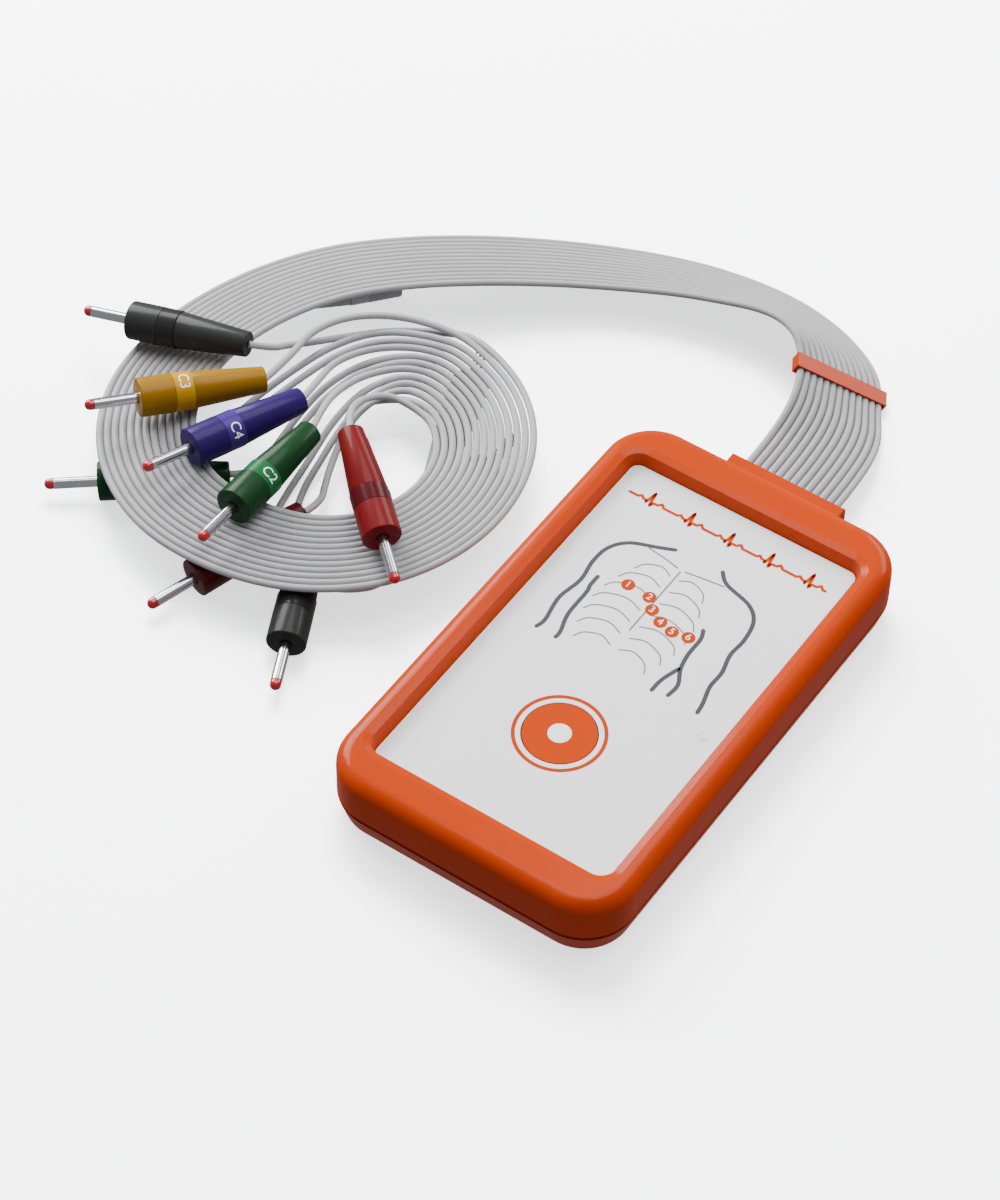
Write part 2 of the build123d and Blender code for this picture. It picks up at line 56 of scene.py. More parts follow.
# ---------------------------------------------------------------- camera
CAMERA_AT = Vector((0.3003, -0.5022, 0.7320))
CAMERA_LOOK = Vector((-0.35918, 0.53584, -0.76410))
CAMERA_UP = Vector((-0.43939, 0.62520, 0.64501))
CAMERA_LENS, CAMERA_SENSOR = 111.42, 36.0

camera_data = bpy.data.cameras.new("camera")
camera_data.lens = CAMERA_LENS
camera_data.sensor_fit = "VERTICAL"
camera_data.sensor_height = CAMERA_SENSOR
camera = bpy.data.objects.new("camera", camera_data)
camera_back = -CAMERA_LOOK.normalized()
camera_right = CAMERA_UP.cross(camera_back).normalized()
camera_up = camera_back.cross(camera_right)
camera.matrix_world = Matrix.Translation(CAMERA_AT) @ Matrix(
    (camera_right, camera_up, camera_back)).transposed().to_4x4()
bpy.context.scene.collection.objects.link(camera)
bpy.context.scene.camera = camera

# ---------------------------------------------------------------- cords: the CAD's routes
WIRE_D = 1.95
LEADS = 13
MIDDLE = 7
# x, y, z of the middle wire, tilt with the outer edge down, and wire pitch
RIBBON = [
    (0, 80.6, 7.5, 0, 2.25), (0, 92, 7.5, 0, 2.25), (-1.5, 106.5, 8, 16, 2.12),
    (-6.3, 116.6, 8.3, 28.5, 2.05), (-11.1, 125.1, 8.3, 28.5, 2.05), (-18.4, 131, 9, 36, 2.05),
    (-27.4, 134.6, 9, 37.5, 2.05), (-37.6, 135.9, 8.5, 34.5, 2.05), (-50, 134.9, 7.4, 29, 2.05),
    (-64.5, 131.8, 6.5, 24.5, 2.05), (-80.3, 125.3, 6.2, 20.5, 2.05), (-96.6, 115.2, 7.7, 17.5, 2.05),
    (-112.4, 102.2, 10.3, 15, 2.05), (-127.4, 88, 12.5, 14, 2.05), (-142.2, 73.1, 12.4, 13, 2.05),
    (-152.8, 54.2, 12.1, 12, 2.05), (-158.1, 32, 12, 10, 2.05), (-155.7, 9.5, 12.1, 6, 2.05),
    (-144.4, -8.2, 12.4, 2, 2.05), (-126.6, -18.6, 12.4, 0, 2.05), (-106.4, -19.6, 12.4, 0, 2.05),
    (-87.3, -14.2, 12.5, -2, 2.05), (-72.2, -1.5, 12.7, -3, 2.05), (-64.6, 17.8, 12.8, -4, 2.05),
    (-67.2, 38.4, 12.7, -4, 2.08), (-78.4, 53.6, 12.6, -3, 2.2), (-94.6, 60.2, 12.3, -2, 2.38),
]
FIRST_HEADING, LAST_HEADING = 90, 200
# each wire's own points after the loop
FAN = {
    1: [(-102.6, 43.4, 13.4), (-105.8, 35.4, 16.4), (-103, 26.4, 20.2)],
    2: [(-103.8, 46.2, 8.4), (-111, 41.8, 5.8), (-110.7, 34.4, 5.3)],
    3: [(-102.5, 48.6, 11.2), (-106.4, 40.4, 10.4), (-106.6, 31, 9.8), (-104.6, 21.8, 6.6),
        (-101.4, 13.6, 5.4), (-98, 7.2, 6.2)],
    4: [(-103.4, 50.8, 11.8), (-108.4, 41.2, 9.8), (-109.2, 30.5, 6.4), (-108.4, 20.5, 3.4),
        (-107.2, 11, 1.2), (-103.3, 2.4, 1), (-95.2, 1.8, 3.2)],
    5: [(-104.2, 53, 12), (-110.6, 43, 10.4), (-112.2, 31.5, 7), (-111.2, 20, 3.4), (-110.2, 8.5, 1),
        (-107.6, -2.4, 1), (-101, -7.4, 1), (-92.5, -9.2, 1), (-84.6, -8.6, 1), (-77.2, -4.4, 1),
        (-73.1, 3.6, 1), (-73.1, 13.6, 1), (-76.4, 23.6, 2.2)],
    6: [(-104.8, 55.6, 12.3), (-112.4, 46.4, 12.4), (-114.2, 35.6, 13.8), (-111.8, 26, 16)],
    7: [(-105.4, 58.2, 12.2), (-114.2, 49.2, 10.8), (-118.6, 38.4, 7.8), (-119.4, 27.6, 4.8),
        (-118.8, 16.8, 4.2), (-117.4, 7, 5.6)],
    8: [(-105.9, 60.6, 12.2), (-115.8, 51.4, 11), (-121.2, 40.2, 8), (-122.3, 28.6, 4.6), (-122, 18, 1.8),
        (-121.2, 8, 1), (-118.4, -1.4, 1), (-112.4, -8.2, 1), (-103.6, -10.6, 1), (-94.4, -12.8, 1),
        (-85.2, -12.8, 1), (-77, -9.4, 1), (-70.4, -2.2, 1.1)],
    9: [(-106.3, 63, 12.6), (-116.2, 55.2, 13), (-120.9, 44.4, 14), (-119.2, 34.6, 15.6)],
    10: [(-106.7, 65.8, 12.2), (-118, 60, 10.8), (-125, 50, 9), (-129.2, 38.2, 6.6), (-132.8, 25.4, 4),
         (-135.6, 12.2, 1.6), (-138.3, -1.8, 1), (-147.2, -6.8, 1), (-156, -2.6, 1), (-160.8, 7, 1),
         (-163.4, 19.6, 1), (-165, 33, 1), (-165.6, 47, 1), (-161.6, 58.8, 2.4)],
    11: [(-107.2, 68.4, 12.2), (-119.6, 63.2, 10.8), (-127.4, 53, 9.4), (-131.8, 41, 7.4),
         (-135.6, 28, 4.8), (-138.2, 14, 1.8), (-139.6, 1.4, 1), (-145.7, -2.2, 1.1), (-152.2, 1.3, 3.1)],
    12: [(-107.4, 72.2, 12.9), (-118.8, 67.8, 13.6), (-127.4, 59.6, 14.8), (-131.4, 48.2, 16.2),
         (-129.6, 36.6, 17.2)],
    13: [(-106.6, 73, 9.8), (-118.2, 67, 8.6), (-126.4, 58, 9), (-132.2, 48.6, 11), (-135, 41.4, 14.4),
         (-134.6, 36.2, 18)],
}
# x, y, z of the boot's end, heading and rise of the plug's axis in degrees
PLUG = {
    1: (-97.2, 19.7, 22.9, -40.3, -6.2),
    2: (-103.6, 30.3, 5.3, -42, 0),
    3: (-99.2, 0.9, 7.2, 252.1, -3.2),
    4: (-92, -4.6, 7.2, -65, -3.2),
    5: (-79.5, 33.5, 5.3, 109.9, 0),
    6: (-109.2, 18.3, 16.9, 271.3, 4),
    7: (-123.5, 1.4, 6.4, 217.6, -1.8),
    8: (-68.5, 8, 5.3, 92.3, 0),
    9: (-118, 26.2, 16.8, 249.6, 4),
    10: (-152.6, 60.7, 5.3, 50, 0),
    11: (-153, 8.8, 5.3, 97.3, 0),
    12: (-130, 26, 17.5, 232.3, 6),
    13: (-139.2, 31.4, 20.7, 193.5, -6),
}


def show(obj, body):
    """Links a new piece and rides it on its body."""
    bpy.context.scene.collection.objects.link(obj)
    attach(obj, body)
    return obj


def ribbon_points(wire):
    """One wire's points in the ribbon: every station's middle moved across it, mitred at the turns."""
    headings = [math.atan2(b[1] - a[1], b[0] - a[0]) for a, b in zip(RIBBON[:-1], RIBBON[1:])]
    before = [math.radians(FIRST_HEADING)] + headings
    after = headings + [math.radians(LAST_HEADING)]
    points = []
    for (x, y, z, tilt, pitch), into, out in zip(RIBBON, before, after):
        half_turn = math.remainder(out - into, 2 * math.pi) / 2
        across = (wire - MIDDLE) * pitch
        reach = across * math.cos(math.radians(tilt)) / math.cos(half_turn)
        facing = into + half_turn
        drop = across * math.sin(math.radians(tilt))
        points.append((x + reach * math.sin(facing), y - reach * math.cos(facing), z - drop))
    return points


def smooth_curve(name, route):
    """Curve data whose one open spline has the route's points, in millimetres, as its control points."""
    curve = bpy.data.curves.new(name, "CURVE")
    curve.dimensions = "3D"
    spline = curve.splines.new("NURBS")
    spline.points.add(len(route) - 1)
    for point, place in zip(spline.points, route):
        point.co = (*[value * MM for value in place], 1)
        # a curve's box counts this radius, and the bevel depth is multiplied by it
        point.radius = MM
    spline.order_u = 3
    spline.use_endpoint_u = True
    spline.resolution_u = 10
    return curve


def wire_curve(wire):
    """One wire and the point where it leaves the plug's hood."""
    name = f"lead_wire_{wire:02d}"
    route = ribbon_points(wire) + FAN[wire] + [PLUG[wire][:3]]
    curve = smooth_curve(name, route)
    curve.bevel_depth = WIRE_D / 2
    curve.bevel_resolution = 5
    curve.use_fill_caps = True
    piece = show(bpy.data.objects.new(name, curve), "cable")
    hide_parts(f"wire_{wire:02d}")
    return piece, Vector(route[0]) * MM


wires = {wire: wire_curve(wire) for wire in range(1, LEADS + 1)}


def mesh_of(data):
    """The mesh that a curve or a text makes."""
    holder = bpy.data.objects.new(data.name, data)
    bpy.context.scene.collection.objects.link(holder)
    mesh = bpy.data.meshes.new_from_object(holder.evaluated_get(bpy.context.evaluated_depsgraph_get()))
    bpy.data.objects.remove(holder)
    return mesh


# the thin web that joins the wires side by side covers this share of the ribbon, up to where they fan out;
# its dark grey is painted shade in the gaps between the wires
WEB_THICK, WEB_SHARE = 0.5, 0.88


def ribbon_line(wire):
    """Points along a wire's smooth line in the ribbon, read from its spline, in metres."""
    line = mesh_of(smooth_curve("ribbon_line", ribbon_points(wire)))
    return [vert.co.copy() for vert in line.vertices]


def ribbon_web():
    """The web's piece, a flat band between the lines of the first wire and the last, dark as painted shade
    between the wires.
    """
    inner_line, outer_line = ribbon_line(1), ribbon_line(LEADS)
    points, faces = [], []
    for i in range(int(WEB_SHARE * len(inner_line))):
        inner, outer = inner_line[i], outer_line[i]
        up = (outer - inner).cross(inner_line[i + 1] - inner).normalized() * WEB_THICK / 2 * MM
        points += [corner[:] for corner in (inner + up, outer + up, outer - up, inner - up)]
        if i:
            a, b = 4 * (i - 1), 4 * i
            faces += [(a + k, a + (k + 1) % 4, b + (k + 1) % 4, b + k) for k in range(4)]
    faces += [(3, 2, 1, 0), tuple(len(points) - 4 + k for k in range(4))]
    mesh = bpy.data.meshes.new("ribbon_web")
    mesh.from_pydata(points, [], faces)
    return show(bpy.data.objects.new("ribbon_web", mesh), "cable")


web = ribbon_web()


# ---------------------------------------------------------------- materials
def shaded(color, share):
    """A colour made lighter or darker."""
    return tuple(min(1.0, value * share) for value in color) + (1.0,)


COAT_ROUGHNESS = 0.14
GLOSS_SPREAD = 0.12
GRAIN_DEPTH = 0.0002


def surface(name, color, roughness, mottle=0.05, mottle_scale=60, grain=0.02, grain_scale=2500,
            metallic=0.0, coat=0.0, subsurface=0.0, specular=0.5):
    """A finish: a base colour with soft mottling, uneven gloss and a fine moulded or machined grain."""
    material = bpy.data.materials.new(name)
    material.use_nodes = True
    nodes, links = material.node_tree.nodes, material.node_tree.links
    shader = nodes["Principled BSDF"]
    shader.inputs["Metallic"].default_value = metallic
    shader.inputs["Coat Weight"].default_value = coat
    shader.inputs["Coat Roughness"].default_value = COAT_ROUGHNESS
    shader.inputs["Specular IOR Level"].default_value = specular
    shader.inputs["Subsurface Weight"].default_value = subsurface
    shader.inputs["Subsurface Radius"].default_value = (0.0016, 0.0006, 0.0003)
    place = nodes.new("ShaderNodeTexCoord")

    cloud = nodes.new("ShaderNodeTexNoise")
    cloud.inputs["Scale"].default_value = mottle_scale
    cloud.inputs["Detail"].default_value = 5
    links.new(place.outputs["Object"], cloud.inputs["Vector"])

    tint = nodes.new("ShaderNodeValToRGB")
    tint.color_ramp.elements[0].position, tint.color_ramp.elements[1].position = 0.3, 0.7
    tint.color_ramp.elements[0].color = shaded(color, 1 - mottle)
    tint.color_ramp.elements[1].color = shaded(color, 1 + mottle)
    links.new(cloud.outputs["Fac"], tint.inputs["Fac"])
    links.new(tint.outputs["Color"], shader.inputs["Base Color"])

    gloss = nodes.new("ShaderNodeMapRange")
    gloss.inputs["To Min"].default_value = roughness * (1 - GLOSS_SPREAD)
    gloss.inputs["To Max"].default_value = roughness * (1 + GLOSS_SPREAD)
    links.new(cloud.outputs["Fac"], gloss.inputs["Value"])
    links.new(gloss.outputs["Result"], shader.inputs["Roughness"])

    texture = nodes.new("ShaderNodeTexNoise")
    texture.inputs["Scale"].default_value = grain_scale
    texture.inputs["Detail"].default_value = 2
    links.new(place.outputs["Object"], texture.inputs["Vector"])
    bump = nodes.new("ShaderNodeBump")
    bump.inputs["Strength"].default_value = grain
    bump.inputs["Distance"].default_value = GRAIN_DEPTH
    links.new(texture.outputs["Fac"], bump.inputs["Height"])
    links.new(bump.outputs["Normal"], shader.inputs["Normal"])
    return material


# colours are linear light: red, green, blue; the first two values are the colour and the roughness
FINISHES = {
    "orange_plastic": ((0.42, 0.034, 0.0), 0.42, dict(mottle=0.03, grain=0.14, grain_scale=1800,
                                                      specular=0.02, coat=0.18)),
    "gasket": ((0.05, 0.003, 0.0005), 0.75, dict(mottle=0.1, grain=0.15, specular=0.2)),
    "overlay": ((0.80, 0.80, 0.82), 0.45, dict(mottle=0.012, grain=0.12, grain_scale=1500, specular=0.3)),
    "button": ((0.44, 0.036, 0.0), 0.45, dict(mottle=0.02, grain=0.12, grain_scale=1500, specular=0.03)),
    "ink_grey": ((0.045, 0.045, 0.05), 0.5, dict(mottle=0.05, specular=0.2)),
    "ink_pale": ((0.13, 0.13, 0.14), 0.5, dict(mottle=0.04, specular=0.2)),
    "ink_orange": ((0.44, 0.036, 0.0), 0.45, dict(mottle=0.02, specular=0.03)),
    "ink_white": ((0.88, 0.88, 0.89), 0.45, dict(mottle=0.01, specular=0.3)),
    "foot_rubber": ((0.02, 0.02, 0.02), 0.85, dict(mottle=0.1, grain=0.3)),
    "board": ((0.01, 0.11, 0.04), 0.4, dict(mottle=0.12, mottle_scale=300, coat=0.3)),
    "light": ((0.76, 0.76, 0.72), 0.2, dict(mottle=0.02, subsurface=0.3, coat=0.3)),
    "dark_plastic": ((0.02, 0.02, 0.023), 0.5, dict(mottle=0.06, grain=0.15)),
    "tin": ((0.55, 0.55, 0.54), 0.3, dict(mottle=0.06, metallic=1.0, grain=0.08)),
    "cell_wrap": ((0.03, 0.06, 0.19), 0.25, dict(mottle=0.08, coat=0.5)),
    "screw": ((0.48, 0.49, 0.51), 0.32, dict(mottle=0.08, metallic=1.0, grain=0.12)),
    "contact_gold": ((0.68, 0.44, 0.12), 0.25, dict(mottle=0.05, metallic=1.0)),
    "chrome_pin": ((0.50, 0.50, 0.52), 0.16, dict(mottle=0.03, mottle_scale=400, metallic=1.0,
                                                  grain=0.02, grain_scale=5000)),
    "tip_ruby": ((0.36, 0.003, 0.008), 0.15, dict(mottle=0.05, coat=0.4)),
    # the web is far darker than the wires' grey: painted shade in the gaps between the wires
    "web_grey": ((0.11, 0.11, 0.115), 0.6, dict(mottle=0.05, grain=0.1, specular=0.1)),
    "wire_grey": ((0.34, 0.337, 0.345), 0.42, dict(mottle=0.03, grain=0.03, grain_scale=1800, specular=0.2)),
}
M = {name: surface(name, color, roughness, **rest) for name, (color, roughness, rest) in FINISHES.items()}
# plug colour by lead: body and band
PLUG_COLORS = {
    "red": ((0.13, 0.006, 0.007), (0.06, 0.004, 0.006)),
    "dark_red": ((0.075, 0.006, 0.007), (0.06, 0.005, 0.006)),
    "green": ((0.005, 0.036, 0.010), (0.009, 0.10, 0.028)),
    "gold": ((0.24, 0.115, 0.001), (0.44, 0.22, 0.002)),
    "violet": ((0.020, 0.006, 0.085), (0.045, 0.018, 0.16)),
    "black": ((0.022, 0.022, 0.022), (0.017, 0.017, 0.017)),
    "pale": ((0.30, 0.30, 0.31), (0.36, 0.36, 0.37)),
}
PLUG_FINISH = dict(mottle_scale=120, specular=0.06, coat=0.12)
for color_name, (body_color, band_color) in PLUG_COLORS.items():
    body_name, band_name = f"plug_{color_name}", f"band_{color_name}"
    M[body_name] = surface(body_name, body_color, 0.40, mottle=0.04, grain=0.06, **PLUG_FINISH)
    M[band_name] = surface(band_name, band_color, 0.28, mottle=0.03, grain=0.03, **PLUG_FINISH)
LEAD_COLOR = {1: "red", 2: "dark_red", 3: "dark_red", 4: "black", 5: "pale", 6: "green", 7: "green",
              8: "violet", 9: "violet", 10: "pale", 11: "green", 12: "gold", 13: "black"}
# the record's finish for a plug, where its name isn't the colour's
LEAD_CODE = {6: "C2", 9: "C4", 12: "C3"}


def paint(obj, material):
    """Gives an object one material."""
    obj.data.materials.clear()
    obj.data.materials.append(material)


for entry in frame["record"]["subparts"]:
    if entry["material_slot"] in M:
        paint(frame["nodes"][entry["node"]], M[entry["material_slot"]])
for piece, _ in wires.values():
    paint(piece, M["wire_grey"])
# the web takes the dark grey of painted shade between the wires
paint(web, M["web_grey"])


# ---------------------------------------------------------------- mesh helpers
def mesh_piece(name, work, material, body, sharp=math.radians(35)):
    """Turns a bmesh into a smooth-shaded piece with sharp edges where it turns hard."""
    bmesh.ops.remove_doubles(work, verts=work.verts, dist=1e-7)
    bmesh.ops.recalc_face_normals(work, faces=work.faces)
    for face in work.faces:
        face.smooth = True
    for edge in work.edges:
        edge.smooth = edge.calc_face_angle(0) < sharp
    mesh = bpy.data.meshes.new(name)
    work.to_mesh(mesh)
    work.free()
    mesh.materials.append(material)
    return show(bpy.data.objects.new(name, mesh), body)


SEGMENTS = 56


def lathe(name, profile, place, material, body):
    """A turned piece: profile points are radius and distance along the axis, in millimetres."""
    work = bmesh.new()
    rings = []
    for radius, along in profile:
        ring = []
        for step in range(SEGMENTS):
            angle = 2 * math.pi * step / SEGMENTS
            ring.append(work.verts.new(place @ Vector((radius * MM * math.cos(angle),
                                                       radius * MM * math.sin(angle), along * MM))))
        rings.append(ring)
    for lower, upper in zip(rings[:-1], rings[1:]):
        for step in range(SEGMENTS):
            after = (step + 1) % SEGMENTS
            work.faces.new((lower[step], lower[after], upper[after], upper[step]))
    return mesh_piece(name, work, material, body)


def rounded(center, radius, start, stop, steps=6):
    """Profile points round a circle, angles in degrees."""
    return [(center[0] + radius * math.cos(math.radians(start + (stop - start) * i / steps)),
             center[1] + radius * math.sin(math.radians(start + (stop - start) * i / steps)))
            for i in range(steps + 1)]


# ---------------------------------------------------------------- lead plugs
BOOT_R, BODY_R, COLLAR_R, BAND_R, SEAT_R = 3.5, 5.0, 5.25, 5.2, 4.8
BOOT_L, BAND_L, BODY_L = 20.0, 5.2, 34.5
PIN_R, PIN_L, TIP_L = 1.5, 11.8, 2.5
EDGE, LIP, PIN_EDGE = 0.45, 0.12, 0.1
AXIS_END = 0.001
CODE_SIZE, CODE_THICK, CODE_LIFT = 4.0, 0.05, 0.01
# how far a code's middle is turned round the band from the top of the plug, in degrees
CODE_TURN = {6: 38, 9: 46, 12: 12}


def plug_place(lead):
    """Frame at the end of a boot: Z along the plug to its pin, Y towards the top."""
    x, y, z, turn, rise = PLUG[lead]
    turn, rise = math.radians(turn), math.radians(rise)
    along = Vector((math.cos(rise) * math.cos(turn), math.cos(rise) * math.sin(turn), math.sin(rise)))
    side = Vector((0, 0, 1)).cross(along).normalized()
    top = along.cross(side)
    turned = Matrix((-side, top, along)).transposed().to_4x4()
    return Matrix.Translation(Vector((x, y, z)) * MM) @ turned


def text_shape(text, size):
    """Flat letters as a mesh, centred on the origin, in metres."""
    curve = bpy.data.curves.new("letters", "FONT")
    curve.body = text
    curve.size = size * MM
    curve.align_x, curve.align_y = "CENTER", "CENTER"
    curve.resolution_u = 4
    return mesh_of(curve)


def raise_flat(work, thick, where):
    """Thickens flat faces: the sheet is extruded, then every point is sent through where(x, y, height)."""
    bmesh.ops.remove_doubles(work, verts=work.verts, dist=1e-7)
    extruded = bmesh.ops.extrude_face_region(work, geom=list(work.faces))
    tops = {vert for vert in extruded["geom"] if isinstance(vert, bmesh.types.BMVert)}
    for vert in work.verts:
        vert.co = where(vert.co.x, vert.co.y, thick if vert in tops else 0.0)


def lead_code(lead, place):
    """White letters wrapped round the band, their tops towards the boot."""
    work = bmesh.new()
    work.from_mesh(text_shape(LEAD_CODE[lead], CODE_SIZE))
    bmesh.ops.subdivide_edges(work, edges=work.edges, cuts=2)
    band_middle = (BOOT_L + BAND_L / 2) * MM

    def on_band(x, y, height):
        angle = -x / (BAND_R * MM) - math.radians(CODE_TURN[lead])
        radius = (BAND_R + CODE_LIFT) * MM + height
        return place @ Vector((radius * math.sin(angle), radius * math.cos(angle), band_middle - y))

    raise_flat(work, CODE_THICK * MM, on_band)
    return mesh_piece(f"lead_code_{lead:02d}", work, M["ink_white"], "cable")


# profiles, the same for every lead: radius and distance along the plug from the boot's end
NECK_R, NECK_DEPTH = WIRE_D / 2 + 0.05, 0.3
BAND_END, PIN_END = BOOT_L + BAND_L, BODY_L + PIN_L
BAND_LOW, BAND_HIGH, BAND_BORE, BAND_EDGE = BOOT_L + 0.05, BAND_END - 0.06, SEAT_R + 0.02, 0.08
TIP_LOW, TIP_R, TIP_BEND = PIN_END + 0.02, PIN_R - 0.02, PIN_END + TIP_L - PIN_R
BOOT_PROFILE = (
    [(AXIS_END, NECK_DEPTH), (NECK_R, NECK_DEPTH), (NECK_R + 0.2, 0.05)]
    + rounded((BOOT_R - EDGE, EDGE), EDGE, -90, 0)
    + [(BODY_R, BOOT_L - 0.3), (BODY_R - LIP, BOOT_L), (SEAT_R, BOOT_L), (SEAT_R, BAND_END),
       (COLLAR_R - LIP, BAND_END), (COLLAR_R, BAND_END + LIP)]
    + rounded((COLLAR_R - EDGE, BODY_L - EDGE), EDGE, 0, 90)
    + [(PIN_R + 0.35, BODY_L), (PIN_R + 0.1, BODY_L - 0.25), (AXIS_END, BODY_L - 0.25)])
BAND_PROFILE = [(BAND_BORE, BAND_LOW), (BAND_R - BAND_EDGE, BAND_LOW), (BAND_R, BAND_LOW + BAND_EDGE),
                (BAND_R, BAND_HIGH - BAND_EDGE), (BAND_R - BAND_EDGE, BAND_HIGH), (BAND_BORE, BAND_HIGH),
                (BAND_BORE, BAND_LOW)]
PIN_PROFILE = [(AXIS_END, BODY_L - 0.2), (PIN_R, BODY_L - 0.2), (PIN_R, PIN_END - PIN_EDGE),
               (PIN_R - PIN_EDGE, PIN_END), (AXIS_END, PIN_END)]
TIP_PROFILE = ([(AXIS_END, TIP_LOW), (TIP_R - PIN_EDGE, TIP_LOW), (TIP_R, PIN_END + 0.15), (TIP_R, TIP_BEND)]
               + rounded((0, TIP_BEND), TIP_R, 0, 89.9, 8))

for lead in range(1, LEADS + 1):
    place, color = plug_place(lead), LEAD_COLOR[lead]
    plug = lathe(f"lead_boot_{lead:02d}", BOOT_PROFILE, place, M[f"plug_{color}"], "cable")
    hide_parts(f"lead_plug_{lead:02d}")
    band = lathe(f"lead_band_{lead:02d}", BAND_PROFILE, place, M[f"band_{color}"], "cable")
    pin = lathe(f"lead_pin_{lead:02d}", PIN_PROFILE, place, M["chrome_pin"], "cable")
    tip = lathe(f"lead_tip_{lead:02d}", TIP_PROFILE, place, M["tip_ruby"], "cable")
    if lead == 1:
        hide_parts("lead_bands")
        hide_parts("lead_pins")
        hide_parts("lead_tips")
    on_wire = [plug, band, pin, tip] + ([lead_code(lead, place)] if lead in LEAD_CODE else [])

# ---------------------------------------------------------------- printing on the label
LABEL_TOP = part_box("front_overlay")[1].z
BUTTON_LOW, BUTTON_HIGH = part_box("start_button")
BUTTON_MIDDLE = (BUTTON_LOW + BUTTON_HIGH) / 2
INK_THICK, INK_LIFT = 0.05, 0.01
PATH_STEP = 0.35


def on_label(x, y, height):
    """A point on the label's face."""
    return Vector((x, y, LABEL_TOP + INK_LIFT * MM + height))


def smooth_path(corners):
    """Points along a smooth line through the corners, in millimetres."""
    points = [Vector(corner) for corner in corners]
    ends = [2 * points[0] - points[1]] + points + [2 * points[-1] - points[-2]]
    path = []
    for a, b, c, d in zip(ends[:-3], ends[1:-2], ends[2:-1], ends[3:]):
        count = max(2, int((c - b).length / PATH_STEP))
        for i in range(count):
            t = i / count
            path.append(0.5 * (2 * b + (c - a) * t + (2 * a - 5 * b + 4 * c - d) * t ** 2
                               + (3 * b - a - 3 * c + d) * t ** 3))
    return path + [points[-1]]


def straight_path(corners):
    """Points along straight runs between the corners."""
    points = [Vector(corner) for corner in corners]
    path = []
    for a, b in zip(points[:-1], points[1:]):
        count = max(2, int((b - a).length / PATH_STEP))
        path += [a.lerp(b, i / count) for i in range(count)]
    return path + [points[-1]]


def add_stroke(work, path, width):
    """A flat stroke with round ends, as faces in work."""
    reached = [0.0]
    for a, b in zip(path[:-1], path[1:]):
        reached.append(reached[-1] + (b - a).length)
    half = width / 2
    rows = []
    for i, point in enumerate(path):
        way = (path[min(i + 1, len(path) - 1)] - path[max(i - 1, 0)]).normalized()
        to_end = min(reached[i], reached[-1] - reached[i])
        share = 1.0 if to_end > half else math.sqrt(max(0.12, 1 - (1 - to_end / half) ** 2))
        side = Vector((-way.y, way.x)) * half * share
        rows.append([work.verts.new((*(edge * MM), 0)) for edge in (point + side, point - side)])
    for lower, upper in zip(rows[:-1], rows[1:]):
        work.faces.new((lower[0], lower[1], upper[1], upper[0]))


def add_disc(work, x, y, radius, hole=0.0, steps=48):
    """A flat disc or ring, as faces in work."""
    outer, inner = [], []
    for i in range(steps):
        way = Vector((math.cos(2 * math.pi * i / steps), math.sin(2 * math.pi * i / steps)))
        outer.append(work.verts.new(((x + way.x * radius) * MM, (y + way.y * radius) * MM, 0)))
        if hole:
            inner.append(work.verts.new(((x + way.x * hole) * MM, (y + way.y * hole) * MM, 0)))
    if not hole:
        work.faces.new(outer)
        return
    for i in range(steps):
        after = (i + 1) % steps
        work.faces.new((outer[i], outer[after], inner[after], inner[i]))


def strokes(name, lines, width, ink, path_of=smooth_path):
    """One printed piece made of several strokes."""
    work = bmesh.new()
    for line in lines:
        add_stroke(work, path_of(line), width)
    raise_flat(work, INK_THICK * MM, on_label)
    return mesh_piece(name, work, M[ink], "case")


LINE_W, RIB_W, BONE_W, TRACE_W = 1.15, 0.34, 0.4, 0.85
BODY_LINES = [
    [(-8.5, 39.5), (-13, 37.5), (-20, 34.5), (-23.5, 30), (-24.2, 24), (-23.3, 17), (-24.5, 9), (-23.3, 1),
     (-24, -2.5)],
    [(4.5, 40.3), (8, 37), (16, 34.5), (20, 30.5), (21.3, 24), (21, 18), (22.3, 12), (22.3, 6.5), (23.7, 1),
     (24.2, -2.7)],
    [(-20.3, 21), (-20.3, 17), (-19.8, 14.5), (-19.6, 6), (-18, 0), (-18, -2.7)],
    [(11, 21.3), (12.2, 18), (12.3, 12), (13.3, 7), (15.5, 2.3), (15.2, -2.3)],
    [(13, 7.3), (11.3, 1.5), (11, -3.2)],
]
strokes("label_torso", BODY_LINES, LINE_W, "ink_grey")

# a plain rib cage: breast bone, collar bones and evenly spaced ribs that widen and then close
BONE_X, RIB_TOP, RIB_STEP, RIBS = -4.0, 31.0, 4.6, 7
RIB_REACH, RIB_SWELL = 7.5, 6.5
rib_lines = []
for number in range(RIBS):
    top = RIB_TOP - number * RIB_STEP
    spread = RIB_REACH + RIB_SWELL * math.sin(math.pi * (number + 1.2) / (RIBS + 1.6))
    for side in (-1, 1):
        rib_lines.append([(BONE_X + side * 1.2, top), (BONE_X + side * spread * 0.45, top + 1.5),
                          (BONE_X + side * spread * 0.85, top - 0.2), (BONE_X + side * spread, top - 3.0)])
strokes("label_ribs", rib_lines, RIB_W, "ink_pale")
strokes("label_bones", [[(BONE_X, 34), (BONE_X, 22), (BONE_X, 10)],
                        [(-15, 36), (-9, 35.2), (-5, 34.4)], [(8, 36), (2, 35.2), (-3, 34.4)]],
        BONE_W, "ink_pale")

# a generic heart trace across the head of the label
TRACE_START, TRACE_Y, BEAT, BEATS = -30, 49.4, 12.0, 5
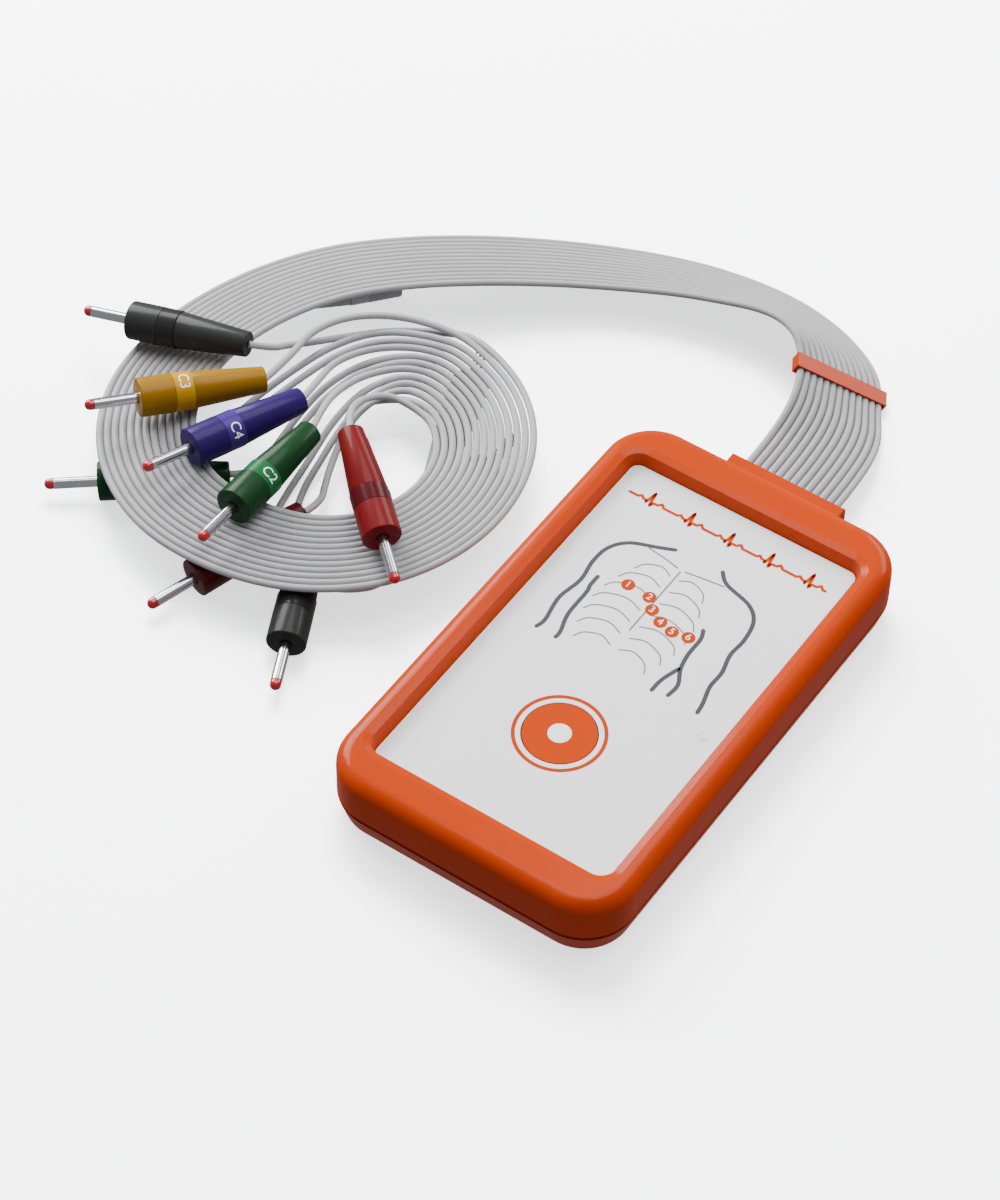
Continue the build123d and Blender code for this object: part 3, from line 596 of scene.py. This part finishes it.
# one beat: way along the trace, and height
BEAT_SHAPE = [(3.0, 0), (3.8, 0.7), (4.6, 0), (5.4, 0), (5.8, -0.8), (6.5, 3.4), (7.2, -1.5), (7.7, 0),
              (9.0, 0), (9.9, 1.0), (10.8, 0)]
trace = [(TRACE_START, TRACE_Y)]
for beat in range(BEATS):
    trace += [(TRACE_START + beat * BEAT + along, TRACE_Y + rise) for along, rise in BEAT_SHAPE]
trace.append((-TRACE_START, TRACE_Y))
strokes("label_trace", [trace], TRACE_W, "ink_orange", path_of=straight_path)

# a ring on the label, round the button
RING_R, RING_W = 11.5, 1.0
ring = bmesh.new()
add_disc(ring, BUTTON_MIDDLE.x / MM, BUTTON_MIDDLE.y / MM, RING_R + RING_W / 2, RING_R - RING_W / 2,
         steps=96)
raise_flat(ring, INK_THICK * MM, on_label)
mesh_piece("label_button_ring", ring, M["ink_orange"], "case")

# numbered places for the chest leads
SPOT_R, NUMERAL_SIZE = 1.8, 2.9
SPOTS = [(-12.5, 22.6), (-5.8, 22.2), (-3, 19.1), (0.9, 16.9), (5.0, 15.9), (9.4, 16.7)]
spots = bmesh.new()
for x, y in SPOTS:
    add_disc(spots, x, y, SPOT_R)
raise_flat(spots, INK_THICK * 2 * MM, on_label)
mesh_piece("label_spots", spots, M["ink_orange"], "case")

numerals = bmesh.new()
for number, (x, y) in enumerate(SPOTS, start=1):
    shape = text_shape(str(number), NUMERAL_SIZE)
    shape.transform(Matrix.Translation((x * MM, y * MM, 0)))
    numerals.from_mesh(shape)


def on_spot(x, y, height):
    """A point just above the numbered spots."""
    return Vector((x, y, LABEL_TOP + (2 * INK_LIFT + 2 * INK_THICK) * MM + height))


raise_flat(numerals, INK_THICK * MM, on_spot)
mesh_piece("label_numerals", numerals, M["ink_white"], "case")

# the button's pale centre rides on the button
DOT_R = 3.0


def on_button(x, y, height):
    """A point on the button's face."""
    return Vector((x, y, BUTTON_HIGH.z + INK_LIFT * MM + height))


dot = bmesh.new()
add_disc(dot, BUTTON_MIDDLE.x / MM, BUTTON_MIDDLE.y / MM, DOT_R)
raise_flat(dot, INK_THICK * MM, on_button)
mesh_piece("button_dot", dot, M["ink_white"], "button")

# a fine raised collar round the light
LIGHT_LOW, LIGHT_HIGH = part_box("status_led")
LIGHT_MIDDLE = (LIGHT_LOW + LIGHT_HIGH) / 2
COLLAR_IN, COLLAR_OUT, COLLAR_H, COLLAR_EDGE = 1.25, 1.75, 0.12, 0.08
light_collar = [(COLLAR_IN, 0), (COLLAR_OUT, 0), (COLLAR_OUT - COLLAR_EDGE, COLLAR_H),
                (COLLAR_IN + COLLAR_EDGE, COLLAR_H), (COLLAR_IN, 0)]
lathe("light_collar", light_collar,
      Matrix.Translation((LIGHT_MIDDLE.x, LIGHT_MIDDLE.y, LABEL_TOP + INK_LIFT * MM)),
      M["overlay"], "case")

# ---------------------------------------------------------------- floor and light
FLOOR_HALF = 3.0
floor_mesh = bpy.data.meshes.new("floor")
floor_corners = [(x * FLOOR_HALF, y * FLOOR_HALF, 0) for x, y in ((-1, -1), (1, -1), (1, 1), (-1, 1))]
floor_mesh.from_pydata(floor_corners, [], [(0, 1, 2, 3)])
floor = bpy.data.objects.new("floor", floor_mesh)
bpy.context.scene.collection.objects.link(floor)
floor_paper = surface("floor_paper", (0.90, 0.905, 0.93), 0.9, mottle=0.004, grain=0.01, specular=0.1)
floor_shader = floor_paper.node_tree.nodes["Principled BSDF"]
floor_shader.inputs["Emission Color"].default_value = (0.97, 0.98, 1.0, 1.0)
floor_shader.inputs["Emission Strength"].default_value = 1.6
floor_mesh.materials.append(floor_paper)
floor.visible_diffuse = False
floor.visible_glossy = False

world = bpy.data.worlds.new("studio")
bpy.context.scene.world = world
world.use_nodes = True
background = world.node_tree.nodes["Background"]
background.inputs["Color"].default_value = (0.94, 0.96, 1.0, 1.0)
background.inputs["Strength"].default_value = 0.42


def softbox(name, place, target, size, power):
    """A large soft light that faces a point."""
    light = bpy.data.lights.new(name, "AREA")
    light.shape = "RECTANGLE"
    light.size, light.size_y = size
    light.energy = power
    holder = bpy.data.objects.new(name, light)
    holder.location = place
    holder.rotation_euler = (Vector(target) - Vector(place)).to_track_quat("-Z", "Y").to_euler()
    bpy.context.scene.collection.objects.link(holder)
    return holder


SUBJECT = (-0.03, 0.03, 0.01)
softbox("key_left", (-0.95, 0.35, 0.62), SUBJECT, (0.7, 0.7), 30)
softbox("fill_top", (0.0, 0.35, 1.4), SUBJECT, (1.0, 1.0), 20)
softbox("back_rim", (0.2, 1.2, 0.6), SUBJECT, (1.0, 0.5), 14)
# light that only the floor takes: a bright pale floor with soft shadows under the object
floor_only = bpy.data.collections.new("floor_only")
floor_only.objects.link(floor)
backlight = softbox("floor_light", (-0.45, 0.55, 0.9), SUBJECT, (0.5, 0.5), 45)
backlight.light_linking.receiver_collection = floor_only
